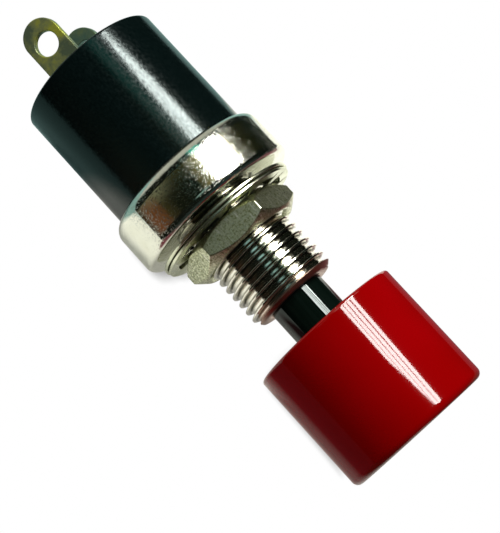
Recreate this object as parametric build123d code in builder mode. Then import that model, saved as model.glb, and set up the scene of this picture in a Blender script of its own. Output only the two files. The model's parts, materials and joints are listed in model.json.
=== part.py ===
"""Panel push button switch: crimped metal collar, threaded bushing, sprung plunger and two solder lugs.

Frame: +Z runs along the switch towards the button, and z = 0 is the front face of the collar, where
the panel seats. The lugs are flat plates that face -Y and +Y. All sizes are millimetres.
"""

import os
from math import asin, cos, degrees, radians, sin, sqrt, tan

from build123d import *

# ---- driving dimensions ----------------------------------------------------------------------
thread_diameter = 10.0
thread_pitch = 1.0
thread_depth = 0.6
thread_land = 0.39  # plain neck in front of the collar, up to the first crest
bushing_reach = 11.6  # from the collar's front face to the bushing's end
bushing_end_chamfer = 0.6
bore_mouth_chamfer = 0.2
bushing_flange_thickness = 1.2

body_diameter = 16.4
body_depth = 20.45  # from the collar's front face to the body's rear face
body_rear_chamfer = 0.15
spring_chamber_wall = 1.2
spring_ledge_width = 0.8
contact_chamber_depth = 6.9  # from the spring's ledge to the floor
floor_thickness = 2.55
gasket_thickness = 0.4
gasket_bore_margin = 0.1  # the gasket's bore stands back this far from the spring chamber

collar_length = 5.7
collar_lip = 1.2  # how far the collar's side stands out from the body
collar_wall = 0.5
collar_edge_radius = 0.7
crimp_radius = 1.0

plunger_diameter = 6.3
plunger_tip_height = 26.0
plunger_end_chamfer = 0.2
shoulder_thickness = 1.6
tail_diameter = 3.2
tail_overhang = 0.65  # plastic left below the clip's groove
travel = 2.5

cap_diameter = 16.9
cap_rear_height = 15.85
cap_length = 14.1
cap_wall = 1.8
cap_rear_chamfer = 0.25
cap_front_radius = 0.7
cap_hub_diameter = 10.0
cap_hub_recess = 0.6
rib_thickness = 1.2
rib_recess = 1.6
rib_count = 4

washer_gap = 0.75  # from the collar to the loose washers
flat_washer_diameter = 16.5
flat_washer_thickness = 0.35

lock_washer_diameter = 16.1
lock_ring_width = 1.15
lock_washer_thickness = 0.3
lock_stack_height = 0.5  # over the twisted teeth
lock_tooth_count = 10
lock_tooth_width = 1.6

nut_wall = 1.0  # from the thread to the middle of a flat
nut_thickness = 3.0
nut_face_step = 0.25  # from a flat in to the edge of the nut's round face
nut_chamfer_angle = 40.0
nut_bore_chamfer = 0.35
nut_turn = 17.1  # degrees that the nut has stopped at

lug_width = 4.2
lug_thickness = 0.8
lug_reach = 6.4  # behind the body's rear face
lug_hole_diameter = 2.6
lug_hole_from_tip = 2.9
lug_bend_radius = 0.5  # outside of the bend between the blade and its inner leg
leg_margin = 0.1  # leg left beyond the contact's head

contact_to_blade = 1.2  # from the contact's middle to the blade's inner face
contact_head_diameter = 2.2
contact_head_height = 0.6
contact_shank_diameter = 1.2
clench_diameter = 2.0
clench_height = 0.4

bridge_thickness = 0.6
clip_overhang = 0.65  # how far the clip stands out from the tail
clip_thickness = 0.4
clip_gap = 1.7
groove_depth = 0.35

return_wire = 0.7
return_active_turns = 2
contact_wire = 0.35
contact_active_turns = 1
contact_spring_height = 2.0

# ---- clearances -------------------------------------------------------------------------------
slide_clearance = 0.05  # where a piece slides along or stops against another
seat_clearance = 0.05  # round pieces that are dropped or crimped into place
push_fit_clearance = 0.02  # cap on plunger, rivet in lug
spring_side_clearance = 0.2  # between a spring and what it stands round or in
shoulder_clearance = 0.3  # between the plunger's shoulder and its chamber
bridge_clearance = 0.6  # between the bridge's rim and its chamber
lug_corner_clearance = 0.22  # between the corners of a lug's leg and its chamber
flat_washer_clearance = 0.15  # between the thread and the flat washer
lock_washer_clearance = 0.25  # between the thread and the lock washer's teeth

# ---- stations along the axis ------------------------------------------------------------------
flange_front_z = -collar_wall
flange_rear_z = flange_front_z - bushing_flange_thickness
body_front_z = flange_rear_z - gasket_thickness
crimp_seat_z = -collar_length + collar_wall
body_rear_z = -body_depth
floor_z = body_rear_z + floor_thickness
leg_top_z = floor_z + lug_thickness
contact_top_z = leg_top_z + contact_head_height
bridge_rear_z = contact_top_z + travel + slide_clearance
bridge_front_z = bridge_rear_z + bridge_thickness
clip_rear_z = bridge_rear_z - clip_thickness
tail_end_z = clip_rear_z - tail_overhang
shoulder_front_z = flange_rear_z - slide_clearance
shoulder_rear_z = shoulder_front_z - shoulder_thickness
hub_rear_z = bridge_front_z + contact_spring_height
ledge_z = floor_z + contact_chamber_depth
lug_tip_z = body_rear_z - lug_reach
lug_hole_z = lug_tip_z + lug_hole_from_tip
cap_front_z = cap_rear_height + cap_length
flat_washer_front_z = washer_gap + flat_washer_thickness
nut_rear_z = flat_washer_front_z + lock_stack_height

# ---- radii that several pieces share ------------------------------------------------------------
thread_radius = thread_diameter / 2
thread_root_radius = thread_radius - thread_depth
body_radius = body_diameter / 2
collar_radius = body_radius + collar_lip
collar_bore_radius = collar_radius - collar_wall
inside_collar_radius = collar_bore_radius - seat_clearance
spring_chamber_radius = body_radius - spring_chamber_wall
contact_chamber_radius = spring_chamber_radius - spring_ledge_width
tail_radius = tail_diameter / 2
lug_outer_y = sqrt((contact_chamber_radius - lug_corner_clearance) ** 2 - (lug_width / 2) ** 2)
contact_y = lug_outer_y - lug_thickness - contact_to_blade


def save(piece, name):
    """Label a finished piece and write it under its node's name."""
    piece.part.label = name
    export_step(piece.part, f"parts/{name}.step")


def coil(mean_radius, wire, active_turns, low_z, high_z):
    """A compression spring with one closed turn at each end, filling the height between its seats.

    Each half turn is a semicircle that leaves and arrives level, so the whole coil runs smoothly. The
    wire is four-sided, which keeps its many turns light.
    """
    closed_rise = wire * 1.04 / 2
    active_rise = (high_z - low_z - wire - 4 * closed_rise) / (2 * active_turns)
    rises = [closed_rise] * 2 + [active_rise] * (2 * active_turns) + [closed_rise] * 2
    z = low_z + wire / 2
    side = 1
    with BuildPart() as spring:
        with BuildLine() as path:
            for rise in rises:
                start = Vector(side * mean_radius, 0, z)
                finish = Vector(-side * mean_radius, 0, z + rise)
                bulge = Vector(0, side * (finish - start).length / 2, 0)
                ThreePointArc(start, (start + finish) / 2 + bulge, finish)
                z += rise
                side = -side
        with BuildSketch(Plane(origin=path.line @ 0, x_dir=(0, 0, 1), z_dir=(0, 1, 0))):
            RegularPolygon(wire / 2, 4)
        sweep(path=path.line)
    return spring


os.makedirs("parts", exist_ok=True)

# ---- switch body: moulded cup whose front flange sits in the collar's crimp ---------------------
with BuildPart() as switch_body:
    with BuildSketch(Plane.XZ):
        with BuildLine():
            Polyline(
                (0, floor_z),
                (contact_chamber_radius, floor_z),
                (contact_chamber_radius, ledge_z),
                (spring_chamber_radius, ledge_z),
                (spring_chamber_radius, body_front_z),
                (inside_collar_radius, body_front_z),
                (inside_collar_radius, crimp_seat_z),
                (body_radius, crimp_seat_z),
                (body_radius, body_rear_z),
                (0, body_rear_z),
                close=True,
            )
        make_face()
    revolve(axis=Axis.Z)
    outer_edges = switch_body.edges().filter_by(GeomType.CIRCLE)
    flange_edge = outer_edges.filter_by(
        lambda e: abs(e.radius - inside_collar_radius) < 1e-6 and e.center().Z < body_front_z - 0.1
    )
    chamfer(flange_edge, crimp_radius - collar_wall)
    rear_edge = switch_body.edges().filter_by(GeomType.CIRCLE).filter_by(
        lambda e: abs(e.radius - body_radius) < 1e-6 and abs(e.center().Z - body_rear_z) < 1e-6
    )
    chamfer(rear_edge, body_rear_chamfer)
    with BuildSketch(Plane.XY.offset(floor_z)):
        lug_middle_y = lug_outer_y - lug_thickness / 2
        with Locations((0, -lug_middle_y), (0, lug_middle_y)):
            Rectangle(lug_width + 2 * seat_clearance, lug_thickness + 2 * seat_clearance)
        with Locations((0, -contact_y), (0, contact_y)):
            Circle(contact_shank_diameter / 2 + push_fit_clearance)
    extrude(amount=-floor_thickness, mode=Mode.SUBTRACT)
save(switch_body, "switch_body")

# ---- collar: drawn cup, its rear rim rolled in behind the body's flange --------------------------
with BuildPart() as collar:
    with BuildSketch(Plane.XZ):
        with BuildLine():
            hole = thread_radius + seat_clearance
            rim = body_radius + seat_clearance
            bend_z = -collar_length + crimp_radius
            front = Line((hole, 0), (collar_radius - collar_edge_radius, 0))
            edge = RadiusArc(front @ 1, (collar_radius, -collar_edge_radius), collar_edge_radius)
            wall = Line(edge @ 1, (collar_radius, bend_z))
            roll = RadiusArc(wall @ 1, (collar_radius - crimp_radius, -collar_length), crimp_radius)
            Polyline(
                roll @ 1,
                (rim, -collar_length),
                (rim, crimp_seat_z),
                (collar_radius - crimp_radius, crimp_seat_z),
                (collar_bore_radius, bend_z),
                (collar_bore_radius, -collar_edge_radius),
                (collar_radius - collar_edge_radius, flange_front_z),
                (hole, flange_front_z),
                (hole, 0),
            )
        make_face()
    revolve(axis=Axis.Z)
save(collar, "collar")

# ---- bushing: flange inside the collar, threaded neck through it, plunger bore right through -----
# Each turn of the thread is a ring here, with its crest and root at the real radii and pitch.
turn_count = int((bushing_reach - thread_land) / thread_pitch) + 1
with BuildPart() as bushing:
    with BuildSketch(Plane.XY.offset(flange_rear_z)):
        Circle(inside_collar_radius)
    extrude(amount=bushing_flange_thickness)
    top_rim = bushing.edges().group_by(Axis.Z)[-1]
    chamfer(top_rim, collar_edge_radius - collar_wall + seat_clearance)
    with BuildSketch(Plane.XZ):
        crests = [(thread_radius, thread_land + k * thread_pitch) for k in range(turn_count + 1)]
        roots = [(thread_root_radius, z + thread_pitch / 2) for _, z in crests]
        thread_outline = [point for pair in zip(crests, roots) for point in pair]
        with BuildLine():
            Polyline(
                (0, flange_rear_z),
                (thread_radius, flange_rear_z),
                *thread_outline,
                (0, thread_outline[-1][1]),
                close=True,
            )
        make_face()
        with BuildLine():
            Polyline(
                (0, flange_rear_z),
                (thread_radius, flange_rear_z),
                (thread_radius, bushing_reach - bushing_end_chamfer),
                (thread_radius - bushing_end_chamfer, bushing_reach),
                (0, bushing_reach),
                close=True,
            )
        make_face(mode=Mode.INTERSECT)
    revolve(axis=Axis.Z)
    bore_radius = plunger_diameter / 2 + slide_clearance
    with BuildSketch(Plane.XY.offset(flange_rear_z)):
        Circle(bore_radius)
    extrude(amount=bushing_reach - flange_rear_z, mode=Mode.SUBTRACT)
    bore_mouths = bushing.edges().filter_by(GeomType.CIRCLE).filter_by(
        lambda e: abs(e.radius - bore_radius) < 1e-6
    )
    chamfer(bore_mouths, bore_mouth_chamfer)
save(bushing, "bushing")

# ---- gasket: fibre ring squeezed between the bushing's flange and the body -----------------------
with BuildPart() as flange_gasket:
    with BuildSketch(Plane.XY.offset(body_front_z)):
        Circle(inside_collar_radius)
        Circle(spring_chamber_radius + gasket_bore_margin, mode=Mode.SUBTRACT)
    extrude(amount=gasket_thickness)
save(flange_gasket, "flange_gasket")

# ---- flat washer: stamped ring, loose on the thread ------------------------------------------
with BuildPart() as flat_washer:
    with BuildSketch(Plane.XY.offset(washer_gap)):
        Circle(flat_washer_diameter / 2)
        Circle(thread_radius + flat_washer_clearance, mode=Mode.SUBTRACT)
    extrude(amount=flat_washer_thickness)
save(flat_washer, "flat_washer")

# ---- lock washer: flat ring with internal teeth, each twisted about its own radius ---------------
lock_middle_z = flat_washer_front_z + lock_stack_height / 2
lock_ring_inner = lock_washer_diameter / 2 - lock_ring_width
tooth_tip = thread_radius + lock_washer_clearance
tooth_length = lock_ring_inner + lock_ring_width / 4 - tooth_tip  # its root is sunk in the ring
tooth_twist = degrees(asin((lock_stack_height - lock_washer_thickness) / lock_tooth_width))
with BuildPart() as lock_washer:
    with BuildSketch(Plane.XY.offset(lock_middle_z - lock_washer_thickness / 2)):
        Circle(lock_washer_diameter / 2)
        Circle(lock_ring_inner, mode=Mode.SUBTRACT)
    extrude(amount=lock_washer_thickness)
    for k in range(lock_tooth_count):
        turn = 360 * k / lock_tooth_count
        radial = Vector(cos(radians(turn)), sin(radians(turn)), 0)
        tangent = Vector(-sin(radians(turn)), cos(radians(turn)), 0)
        across = tangent * cos(radians(tooth_twist)) + Vector(0, 0, 1) * sin(radians(tooth_twist))
        origin = radial * (tooth_tip + tooth_length / 2) + Vector(0, 0, lock_middle_z)
        with BuildSketch(Plane(origin=origin, x_dir=radial, z_dir=radial.cross(across))):
            Rectangle(tooth_length, lock_tooth_width * cos(radians(tooth_twist)))
        extrude(amount=lock_washer_thickness / 2, both=True)
save(lock_washer, "lock_washer")

# ---- hex nut: chamfered on both faces ---------------------------------------------------------------
nut_front_z = nut_rear_z + nut_thickness
nut_flat_radius = thread_radius + nut_wall
nut_face_radius = nut_flat_radius - nut_face_step
nut_cone_radius = 2 * nut_flat_radius  # well outside the nut's corners
nut_cone_drop = (nut_cone_radius - nut_face_radius) * tan(radians(nut_chamfer_angle))
with BuildPart() as hex_nut:
    with BuildSketch(Plane.XY.offset(nut_rear_z)):
        RegularPolygon(nut_flat_radius, 6, major_radius=False, rotation=30 + nut_turn)
    extrude(amount=nut_thickness)
    for face_z, inward in ((nut_rear_z, 1), (nut_front_z, -1)):
        with BuildSketch(Plane.XZ):
            with BuildLine():
                Polyline(
                    (0, face_z),
                    (nut_face_radius, face_z),
                    (nut_cone_radius, face_z + inward * nut_cone_drop),
                    (nut_cone_radius, face_z + inward * (nut_cone_drop + nut_thickness)),
                    (0, face_z + inward * (nut_cone_drop + nut_thickness)),
                    close=True,
                )
            make_face()
        revolve(axis=Axis.Z, mode=Mode.INTERSECT)
    with BuildSketch(Plane.XY.offset(nut_rear_z)):
        Circle(thread_radius + slide_clearance)
    extrude(amount=nut_thickness, mode=Mode.SUBTRACT)
    nut_mouths = hex_nut.edges().filter_by(GeomType.CIRCLE).filter_by(
        lambda e: abs(e.radius - thread_radius - slide_clearance) < 1e-6
    )
    chamfer(nut_mouths, nut_bore_chamfer)
save(hex_nut, "hex_nut")

# ---- plunger: stem through the bushing, stop shoulder, and a thin tail for the bridge -----------------
with BuildPart() as plunger:
    with BuildSketch(Plane.XZ):
        with BuildLine():
            groove = tail_radius - groove_depth
            shoulder = spring_chamber_radius - shoulder_clearance
            Polyline(
                (0, tail_end_z),
                (tail_radius, tail_end_z),
                (tail_radius, clip_rear_z - push_fit_clearance),
                (groove, clip_rear_z - push_fit_clearance),
                (groove, bridge_rear_z),
                (tail_radius, bridge_rear_z),
                (tail_radius, hub_rear_z),
                (plunger_diameter / 2, hub_rear_z),
                (plunger_diameter / 2, shoulder_rear_z),
                (shoulder, shoulder_rear_z),
                (shoulder, shoulder_front_z),
                (plunger_diameter / 2, shoulder_front_z),
                (plunger_diameter / 2, plunger_tip_height),
                (0, plunger_tip_height),
                close=True,
            )
        make_face()
    revolve(axis=Axis.Z)
    chamfer(plunger.edges().group_by(Axis.Z)[-1], plunger_end_chamfer)
    chamfer(plunger.edges().group_by(Axis.Z)[0], plunger_end_chamfer)
save(plunger, "plunger")

# ---- button cap: cored moulding with a hub and ribs, pushed onto the plunger ----------------------------
cap_radius = cap_diameter / 2
cap_cavity_radius = cap_radius - cap_wall
with BuildPart() as button_cap:
    with BuildSketch(Plane.XY.offset(cap_rear_height)):
        Circle(cap_radius)
    extrude(amount=cap_length)
    fillet(button_cap.edges().group_by(Axis.Z)[-1], cap_front_radius)
    chamfer(button_cap.edges().group_by(Axis.Z)[0], cap_rear_chamfer)
    with BuildSketch(Plane.XY.offset(cap_rear_height)):
        Circle(cap_cavity_radius)
    extrude(amount=cap_length - cap_wall, mode=Mode.SUBTRACT)
    with BuildSketch(Plane.XY.offset(cap_front_z - cap_wall)):
        Circle(cap_hub_diameter / 2)
    extrude(amount=-(cap_length - cap_wall - cap_hub_recess))
    with BuildSketch(Plane.XY.offset(cap_front_z - cap_wall)):
        rib_inner = plunger_diameter / 2 + push_fit_clearance
        rib_outer = cap_cavity_radius + cap_wall / 2  # its root is sunk in the wall
        with PolarLocations((rib_inner + rib_outer) / 2, rib_count):
            Rectangle(rib_outer - rib_inner, rib_thickness)
    extrude(amount=-(cap_length - cap_wall - rib_recess))
    with BuildSketch(Plane.XY.offset(cap_rear_height)):
        Circle(plunger_diameter / 2 + push_fit_clearance)
    extrude(amount=plunger_tip_height - cap_rear_height, mode=Mode.SUBTRACT)
save(button_cap, "button_cap")

# ---- springs ---------------------------------------------------------------------------------------------
return_spring_radius = spring_chamber_radius - spring_side_clearance - return_wire / 2
return_spring = coil(return_spring_radius, return_wire, return_active_turns, ledge_z, shoulder_rear_z)
save(return_spring, "return_spring")

contact_spring_radius = tail_radius + spring_side_clearance + contact_wire / 2
contact_spring = coil(
    contact_spring_radius, contact_wire, contact_active_turns, bridge_front_z, hub_rear_z
)
save(contact_spring, "contact_spring")

# ---- contact bridge: punched disc that slides on the tail and joins the two contacts -----------------------
with BuildPart() as contact_bridge:
    with BuildSketch(Plane.XY.offset(bridge_rear_z)):
        Circle(contact_chamber_radius - bridge_clearance)
        Circle(tail_radius + slide_clearance, mode=Mode.SUBTRACT)
    extrude(amount=bridge_thickness)
save(contact_bridge, "contact_bridge")

# ---- bridge clip: open ring snapped into the tail's groove ----------------------------------------------------
with BuildPart() as bridge_clip:
    clip_radius = tail_radius + clip_overhang
    with BuildSketch(Plane.XY.offset(clip_rear_z)):
        Circle(clip_radius)
        Circle(tail_radius - groove_depth + push_fit_clearance, mode=Mode.SUBTRACT)
        with Locations((clip_radius, 0)):
            Rectangle(2 * clip_radius, clip_gap, mode=Mode.SUBTRACT)
    extrude(amount=clip_thickness)
save(bridge_clip, "bridge_clip")

# ---- solder lugs and contact rivets, one pair on each side of the axis ------------------------------------------
leg_reach = lug_thickness + contact_to_blade + contact_head_diameter / 2 + leg_margin
for side, side_name in ((-1, "left"), (1, "right")):
    blade_plane = Plane(origin=(0, side * lug_outer_y, 0), x_dir=(1, 0, 0), z_dir=(0, side, 0))
    up = blade_plane.y_dir.Z  # +1 or -1: the way this plane's own y runs along the switch
    tip_centre_z = lug_tip_z + lug_width / 2
    with BuildPart() as lug:
        with BuildSketch(blade_plane):
            with Locations((0, up * (tip_centre_z + leg_top_z) / 2)):
                Rectangle(lug_width, leg_top_z - tip_centre_z)
            with Locations((0, up * tip_centre_z)):
                Circle(lug_width / 2)
            with Locations((0, up * lug_hole_z)):
                Circle(lug_hole_diameter / 2, mode=Mode.SUBTRACT)
        extrude(amount=-lug_thickness)
        with BuildSketch(Plane.XY.offset(floor_z)):
            with Locations((0, side * (lug_outer_y - leg_reach / 2))):
                Rectangle(lug_width, leg_reach)
            with Locations((0, side * contact_y)):
                Circle(contact_shank_diameter / 2 + push_fit_clearance, mode=Mode.SUBTRACT)
        extrude(amount=lug_thickness)
        bend_outside = lug.edges().filter_by(Axis.X).filter_by(
            lambda e: abs(e.center().Z - leg_top_z) < 1e-6 and abs(abs(e.center().Y) - lug_outer_y) < 1e-6
        )
        fillet(bend_outside, lug_bend_radius)
    save(lug, f"{side_name}_lug")

    with BuildPart() as contact:
        with BuildSketch(Plane.XY.offset(leg_top_z)):
            with Locations((0, side * contact_y)):
                Circle(contact_head_diameter / 2)
        extrude(amount=contact_head_height)
        chamfer(contact.edges().group_by(Axis.Z)[-1], contact_head_height / 2)
        with BuildSketch(Plane.XY.offset(leg_top_z)):
            with Locations((0, side * contact_y)):
                Circle(contact_shank_diameter / 2)
        extrude(amount=body_rear_z - leg_top_z)
        with BuildSketch(Plane.XY.offset(body_rear_z)):
            with Locations((0, side * contact_y)):
                Circle(clench_diameter / 2)
        extrude(amount=-clench_height)
    save(contact, f"{side_name}_contact")
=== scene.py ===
import json
import math

import bmesh
import bpy
import numpy as np
from mathutils import Matrix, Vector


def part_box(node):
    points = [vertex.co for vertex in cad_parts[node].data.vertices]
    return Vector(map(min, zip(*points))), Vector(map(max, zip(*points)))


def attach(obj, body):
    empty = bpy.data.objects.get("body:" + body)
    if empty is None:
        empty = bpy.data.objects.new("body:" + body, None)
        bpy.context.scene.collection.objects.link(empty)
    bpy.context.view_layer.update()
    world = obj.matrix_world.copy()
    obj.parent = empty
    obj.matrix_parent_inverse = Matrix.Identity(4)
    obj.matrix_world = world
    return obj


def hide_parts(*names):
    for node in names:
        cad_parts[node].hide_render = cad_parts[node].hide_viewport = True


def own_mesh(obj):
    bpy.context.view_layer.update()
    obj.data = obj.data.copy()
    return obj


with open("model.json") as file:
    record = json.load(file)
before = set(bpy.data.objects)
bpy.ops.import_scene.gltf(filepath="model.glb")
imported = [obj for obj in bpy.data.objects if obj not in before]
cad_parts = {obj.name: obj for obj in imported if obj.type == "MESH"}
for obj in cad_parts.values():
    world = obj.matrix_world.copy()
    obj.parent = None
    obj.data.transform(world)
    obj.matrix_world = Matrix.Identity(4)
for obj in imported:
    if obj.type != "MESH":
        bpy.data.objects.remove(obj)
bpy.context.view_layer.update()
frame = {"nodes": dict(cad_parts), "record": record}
mm = 0.001  # the shapes' sizes are in millimetres, the frame and everything round the switch in metres
scene = bpy.context.scene
print("frame loaded:", len(frame["nodes"]), "nodes")


# shared ways of making a surface

def gridMesh(name, points, closeRows=False, closeCols=True):
    # points[i, j] is the surface at row i and column j; a quad joins each point to the next row and
    # column, and a closed direction wraps round to its start. Poles are merged and normals face out.
    rows, cols = points.shape[:2]
    index = np.arange(rows * cols).reshape(rows, cols)
    i = np.arange(rows if closeRows else rows - 1)[:, None]
    j = np.arange(cols if closeCols else cols - 1)[None, :]
    nextI, nextJ = (i + 1) % rows, (j + 1) % cols
    quads = np.stack([index[i, j], index[i, nextJ], index[nextI, nextJ], index[nextI, j]], -1)
    mesh = bpy.data.meshes.new(name)
    mesh.from_pydata(points.reshape(-1, 3).tolist(), [], quads.reshape(-1, 4).tolist())
    piece = bpy.data.objects.new(name, mesh)
    scene.collection.objects.link(piece)
    tidyMesh(piece)
    return piece


def tidyMesh(piece):
    # merges the doubled points of poles and turns every face outwards
    work = bmesh.new()
    work.from_mesh(piece.data)
    bmesh.ops.remove_doubles(work, verts=work.verts, dist=1e-8)
    bmesh.ops.dissolve_degenerate(work, edges=work.edges, dist=1e-9)
    bmesh.ops.recalc_face_normals(work, faces=work.faces)
    for face in work.faces:
        face.smooth = True
    work.to_mesh(piece.data)
    work.free()


def joinPieces(name, pieces):
    # several closed shells kept as one object
    work = bmesh.new()
    for piece in pieces:
        work.from_mesh(piece.data)
        bpy.data.objects.remove(piece)
    mesh = bpy.data.meshes.new(name)
    work.to_mesh(mesh)
    work.free()
    whole = bpy.data.objects.new(name, mesh)
    scene.collection.objects.link(whole)
    return whole


def roundedPath(corners, closed=False, steps=7, beyond=1.3):
    # corners are (x, y, radius) in millimetres. Each corner becomes the arc tangent to its two sides:
    # its centre lies along the bisector at radius / sin(half angle), and its points turn evenly
    # between the two tangent points. One more point on each side, a little beyond, keeps the flats flat.
    data = np.array(corners, float)
    point, radius = data[:, :2], data[:, 2:]
    before = np.roll(point, 1, axis=0) - point
    after = np.roll(point, -1, axis=0) - point
    before /= np.linalg.norm(before, axis=1, keepdims=True)
    after /= np.linalg.norm(after, axis=1, keepdims=True)
    half = np.arccos(np.clip((before * after).sum(1, keepdims=True), -1, 1)) / 2
    tangent = radius / np.tan(half)
    bisector = (before + after) / np.linalg.norm(before + after, axis=1, keepdims=True)
    centre = point + bisector * radius / np.sin(half)
    start, finish = point + before * tangent - centre, point + after * tangent - centre
    sweep = math.pi - 2 * half
    k = np.linspace(0, 1, steps)[None, :, None]
    turn = sweep[:, None]
    arc = (np.sin((1 - k) * turn) * start[:, None] + np.sin(k * turn) * finish[:, None]) / np.sin(turn)
    arc = arc + centre[:, None]
    lead = (point + before * tangent * beyond)[:, None]
    tail = (point + after * tangent * beyond)[:, None]
    path = np.concatenate([lead, arc, tail], axis=1)
    if closed:
        return path.reshape(-1, 2)
    return np.concatenate([point[:1], path[1:-1].reshape(-1, 2), point[-1:]])


def fullTurn(count):
    # evenly spaced angles round the axis
    return np.arange(count) * (2 * math.pi / count)


def aroundAxis(radius, z, turn):
    # at each angle a, radius and height in millimetres become (r cos a, r sin a, z) in metres
    return np.stack([radius * np.cos(turn), radius * np.sin(turn), z + 0 * turn], -1) * mm


def lathe(name, profile, segments=192, closed=False):
    # a profile of (radius, z) carried once round the axis
    points = aroundAxis(profile[:, :1], profile[:, 1:], fullTurn(segments))
    return gridMesh(name, points, closeRows=closed)


def bar(name, low, high, radius, steps=5):
    # a rounded rectangle in x and y carried from low z to high z, shrinking by the same arc at each end
    low, high = np.array(low, float), np.array(high, float)
    centre, half = (low + high) / 2, (high - low) / 2
    quarter = np.linspace(0, math.pi / 2, steps)
    nearEnd, nearSide = radius * (1 - np.cos(quarter)), radius * (1 - np.sin(quarter))
    inset = np.concatenate([nearSide, nearEnd])
    drop = np.concatenate([nearEnd, 2 * half[2] - nearSide])
    ring = []
    for k, (sx, sy) in enumerate(((1, 1), (-1, 1), (-1, -1), (1, -1))):
        a = quarter + k * math.pi / 2
        ring.append(np.stack([sx * (half[0] - radius) + radius * np.cos(a),
                              sy * (half[1] - radius) + radius * np.sin(a)], -1))
    ring = np.concatenate(ring)
    shrink = 1 - inset[:, None, None] / half[:2]
    flat = centre[:2] + ring[None] * shrink
    rise = low[2] + drop[:, None, None] + 0 * flat[..., :1]
    rows = np.concatenate([flat, rise], -1)
    ends = [np.broadcast_to([*centre[:2], z], (1, len(ring), 3)) for z in (low[2], high[2])]
    points = np.concatenate([ends[0], rows, ends[1]]) * mm
    return gridMesh(name, points)


def finishPiece(piece, body, node, material):
    # the piece rides on its body, stands for its node and carries its material
    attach(piece, body)
    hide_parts(node)
    piece.data.materials.clear()
    piece.data.materials.append(material)


# materials: every number is set on the shader or in a short chain of pattern nodes

def newMaterial(name, metallic=0.0):
    # a fresh material with the nodes, links and shader that the patterns join
    material = bpy.data.materials.new(name)
    material.use_nodes = True
    nodes, links = material.node_tree.nodes, material.node_tree.links
    shader = nodes["Principled BSDF"]
    shader.inputs["Metallic"].default_value = metallic
    return material, nodes, links, shader


def noise(nodes, links, scale, stretch=(1, 1, 1), **sockets):
    # a noise on Object coordinates, stretched before it is sampled
    place = nodes.new("ShaderNodeTexCoord")
    mapping = nodes.new("ShaderNodeMapping")
    mapping.inputs["Scale"].default_value = stretch
    links.new(place.outputs["Object"], mapping.inputs["Vector"])
    pattern = nodes.new("ShaderNodeTexNoise")
    pattern.inputs["Scale"].default_value = scale
    for socket, value in sockets.items():
        pattern.inputs[socket].default_value = value
    links.new(mapping.outputs["Vector"], pattern.inputs["Vector"])
    return pattern.outputs["Fac"]


def objectPlace(nodes, links):
    # Object coordinates, whole and as three parts
    place = nodes.new("ShaderNodeTexCoord").outputs["Object"]
    parts = nodes.new("ShaderNodeSeparateXYZ")
    links.new(place, parts.inputs["Vector"])
    return place, parts.outputs


def mathStep(nodes, links, operation, *values):
    # one step of arithmetic on sockets and plain numbers
    step = nodes.new("ShaderNodeMath")
    step.operation = operation
    for socket, value in zip(step.inputs, values):
        if isinstance(value, float):
            socket.default_value = value
        else:
            links.new(value, socket)
    return step.outputs["Value"]


def vectorStep(nodes, links, operation, vector, fixed=(0, 0, 0)):
    # one step of vector arithmetic with a fixed vector
    step = nodes.new("ShaderNodeVectorMath")
    step.operation = operation
    links.new(vector, step.inputs[0])
    step.inputs[1].default_value = fixed
    return step.outputs


def rangeTo(nodes, links, source, low, high, fromLow=0.0, fromHigh=1.0):
    # a straight ramp from low to high while the source runs between its own two ends
    spread = nodes.new("ShaderNodeMapRange")
    spread.inputs["From Min"].default_value = fromLow
    spread.inputs["From Max"].default_value = fromHigh
    spread.inputs["To Min"].default_value = low
    spread.inputs["To Max"].default_value = high
    links.new(source, spread.inputs["Value"])
    return spread.outputs["Result"]


def bumpFrom(nodes, links, shader, height, strength, distance):
    # the height pattern tilts the shader's normal
    bump = nodes.new("ShaderNodeBump")
    bump.inputs["Strength"].default_value = strength
    bump.inputs["Distance"].default_value = distance
    links.new(height, bump.inputs["Height"])
    links.new(bump.outputs["Normal"], shader.inputs["Normal"])
    return bump


def colourFrom(nodes, links, source, stops):
    # a colour ramp with its stops as (position, colour)
    ramp = nodes.new("ShaderNodeValToRGB")
    for k, (position, colour) in enumerate(stops):
        stop = ramp.color_ramp.elements[k] if k < 2 else ramp.color_ramp.elements.new(position)
        stop.position = position
        stop.color = (*colour, 1)
    links.new(source, ramp.inputs["Fac"])
    return ramp.outputs["Color"]


def mixColour(nodes, links, factor, first, second):
    # each colour is a socket or a plain value
    mix = nodes.new("ShaderNodeMix")
    mix.data_type = "RGBA"
    links.new(factor, mix.inputs["Factor"])
    for socket, colour in (("A", first), ("B", second)):
        if isinstance(colour, tuple):
            mix.inputs[socket].default_value = colour
        else:
            links.new(colour, mix.inputs[socket])
    return mix.outputs["Result"]


def mixShader(nodes, links, factor, first, second):
    # the first shader where the factor is 0, the second where it is 1
    mix = nodes.new("ShaderNodeMixShader")
    links.new(factor, mix.inputs["Fac"])
    links.new(first, mix.inputs[1])
    links.new(second, mix.inputs[2])
    return mix.outputs["Shader"]


def cloudyTone(nodes, links, s, stretch=(1, 1, 1)):
    # a cloud pattern, and the tone it makes between dull and bright
    cloud = noise(nodes, links, s["cloud"], stretch, Detail=4.0, Roughness=0.6)
    return cloud, colourFrom(nodes, links, cloud, [(0.35, s["dull"]), (0.65, s["bright"])])


def orangePeel(nodes, links, shader, s, stretch=(1, 1, 1)):
    # the fine unevenness of plate
    peel = noise(nodes, links, s["peel"], stretch, Detail=3.0)
    bumpFrom(nodes, links, shader, peel, s["lift"], s["depth"] * mm)


def platedMetal(name, s):
    # plate with a cloudy tone, patchy roughness and orange peel
    material, nodes, links, shader = newMaterial(name, metallic=1.0)
    stretch = s.get("stretch", (1, 1, 1))
    cloud, tone = cloudyTone(nodes, links, s, stretch)
    links.new(tone, shader.inputs["Base Color"])
    links.new(rangeTo(nodes, links, cloud, s["rough"], s["smooth"], 0.3, 0.7), shader.inputs["Roughness"])
    orangePeel(nodes, links, shader, s, stretch)
    return material


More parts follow.
